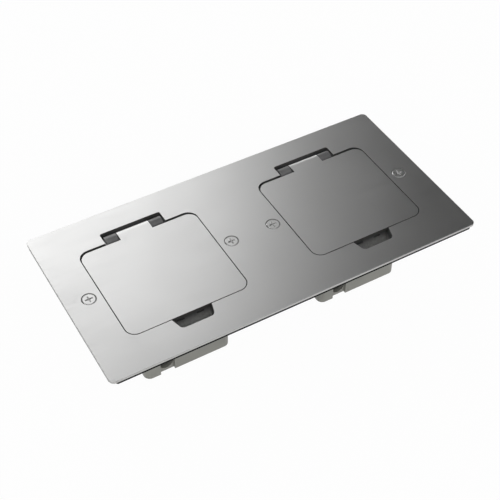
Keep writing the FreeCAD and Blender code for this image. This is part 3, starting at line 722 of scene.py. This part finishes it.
faceScrew = {
    "places": [(0.0, -0.9)],
    "turned": [(2.0, -19.7), (2.4, -19.82), (2.65, -20.15), (2.75, -20.6), (2.75, -21.4),
               (2.65, -21.5), (1.5, -21.5), (1.5, -24.1), (1.4, -24.2), (1.0, -24.2)],
    "tip": [(1.2, -32.8), (0.9, -33.0), (0.0, -33.0)],
    "cross": {"top": -19.7, "reach": 1.45, "half": 0.34, "endDepth": 0.25, "depth": 1.0,
              "lowerReach": 1.35, "lowerHalf": 0.27},
    "thread": {"top": -24.2, "bottom": -32.8, "pitch": 0.5, "root": 1.2, "crest": 1.49,
               "segments": 20},
    "segments": 40, "sharpAbove": 12,
}

# the share of a pitch at which the thread's root ends, and its crest begins and ends
threadProfile = {"rootEnds": 0.25, "crestBegins": 0.56, "crestEnds": 0.69}
# how near two corners of a screw are joined, and how near to the head's rim its edges are found
screwWeld = 0.0005 * mm
rimReach = 0.005 * mm


def addTurned(bm, outline, segments):
    points = [bm.verts.new((radius * mm, 0, level * mm)) for radius, level in outline]
    edges = [bm.edges.new(pair) for pair in zip(points, points[1:])]
    bmesh.ops.spin(bm, geom=points + edges, cent=(0, 0, 0), axis=(0, 0, 1), steps=segments,
                   angle=2 * math.pi, use_merge=True)


def crossLoop(bm, reach, half, endLevel, middleLevel):
    corners = [(reach, -half), (reach, half), (half, half), (half, reach),
               (-half, reach), (-half, half), (-reach, half), (-reach, -half),
               (-half, -half), (-half, -reach), (half, -reach), (half, -half)]
    points = []
    for x, y in corners:
        level = middleLevel if abs(x) == abs(y) else endLevel
        points.append(bm.verts.new((x * mm, y * mm, level * mm)))
    edges = [bm.edges.new((points[i - 1], points[i])) for i in range(len(points))]
    return points, edges


def addCrossRecess(bm, cross, rimRadius):
    # the flat top runs from the head's rim to the cross, whose arms slope down to the middle
    top = cross["top"]
    rimEdges = [e for e in bm.edges
                if all(abs(v.co.z - top * mm) < rimReach
                       and abs(v.co.xy.length - rimRadius * mm) < rimReach for v in e.verts)]
    upperEdges = crossLoop(bm, cross["reach"], cross["half"], top, top)[1]
    bmesh.ops.triangle_fill(bm, use_beauty=True, edges=rimEdges + upperEdges)
    lower, lowerEdges = crossLoop(bm, cross["lowerReach"], cross["lowerHalf"],
                                  top - cross["endDepth"], top - cross["depth"])
    bmesh.ops.bridge_loops(bm, edges=upperEdges + lowerEdges)
    # the floor is four sloping arms, each of four corners in a row, round a flat middle
    for i in range(0, len(lower), 3):
        bm.faces.new((lower[i - 1], lower[i], lower[i + 1], lower[i + 2]))
    bm.faces.new(lower[2::3])


def addThread(bm, thread):
    # one turn of the profile is swept down the helix and repeated, a turn further than it
    # shows at each end, and what stands past an end is drawn in to it
    pitch = thread["pitch"]
    segments = thread["segments"]
    root, crest = thread["root"], thread["crest"]
    profile = [(0.0, root), (threadProfile["rootEnds"], root),
               (threadProfile["crestBegins"], crest), (threadProfile["crestEnds"], crest),
               (1.0, root)]
    turn = bmesh.new()
    points = [turn.verts.new((radius * mm, 0, (thread["top"] + pitch * (1 - along)) * mm))
              for along, radius in profile]
    edges = [turn.edges.new(pair) for pair in zip(points, points[1:])]
    bmesh.ops.spin(turn, geom=points + edges, cent=(0, 0, 0), axis=(0, 0, 1),
                   dvec=(0, 0, -pitch * mm / segments), steps=segments, angle=2 * math.pi,
                   use_merge=False)
    before = len(bm.verts)
    single = bpy.data.meshes.new("threadTurn")
    for _ in range(math.ceil((thread["top"] - thread["bottom"]) / pitch) + 2):
        turn.to_mesh(single)
        bm.from_mesh(single)
        bmesh.ops.translate(turn, verts=turn.verts, vec=(0, 0, -pitch * mm))
    turn.free()
    bpy.data.meshes.remove(single)
    bm.verts.ensure_lookup_table()
    top, bottom = thread["top"] * mm, thread["bottom"] * mm
    for v in bm.verts[before:]:
        held = max(bottom, min(top, v.co.z))
        if held != v.co.z:
            v.co.xy = v.co.xy.normalized() * root * mm
            v.co.z = held


def makeScrews(nodeName, look, centre):
    whole = bmesh.new()
    for x, y in look["places"]:
        bm = bmesh.new()
        addTurned(bm, look["turned"], look["segments"])
        addTurned(bm, look["tip"], look["segments"])
        addCrossRecess(bm, look["cross"], look["turned"][0][0])
        addThread(bm, look["thread"])
        bmesh.ops.remove_doubles(bm, verts=bm.verts, dist=screwWeld)
        bmesh.ops.dissolve_degenerate(bm, dist=screwWeld, edges=bm.edges)
        bmesh.ops.recalc_face_normals(bm, faces=bm.faces)
        bmesh.ops.translate(bm, verts=bm.verts, vec=(centre + x * mm, y * mm, 0))
        single = bpy.data.meshes.new("singleScrew")
        bm.to_mesh(single)
        bm.free()
        whole.from_mesh(single)
        bpy.data.meshes.remove(single)
    rim = whole.faces.layers.float.new("rim")
    for face in whole.faces:
        face[rim] = 1.0 if abs(face.normal.z) < levelNormal else 0.0
    dress(shadedObject(whole, f"{nodeName}_finished", look["sharpAbove"]), nodeName)


for hand, centre in unitCentres.items():
    makeScrews(f"{hand}_fixing_screws", fixingScrew, centre)
    makeScrews(f"{hand}_face_screw", faceScrew, centre)
print("screws made")


# the plain solids get the same finishes, for the views that show them

for name, node in frame["nodes"].items():
    node.data.materials.clear()
    node.data.materials.append(finishes[slots[name]])
print("solids finished")
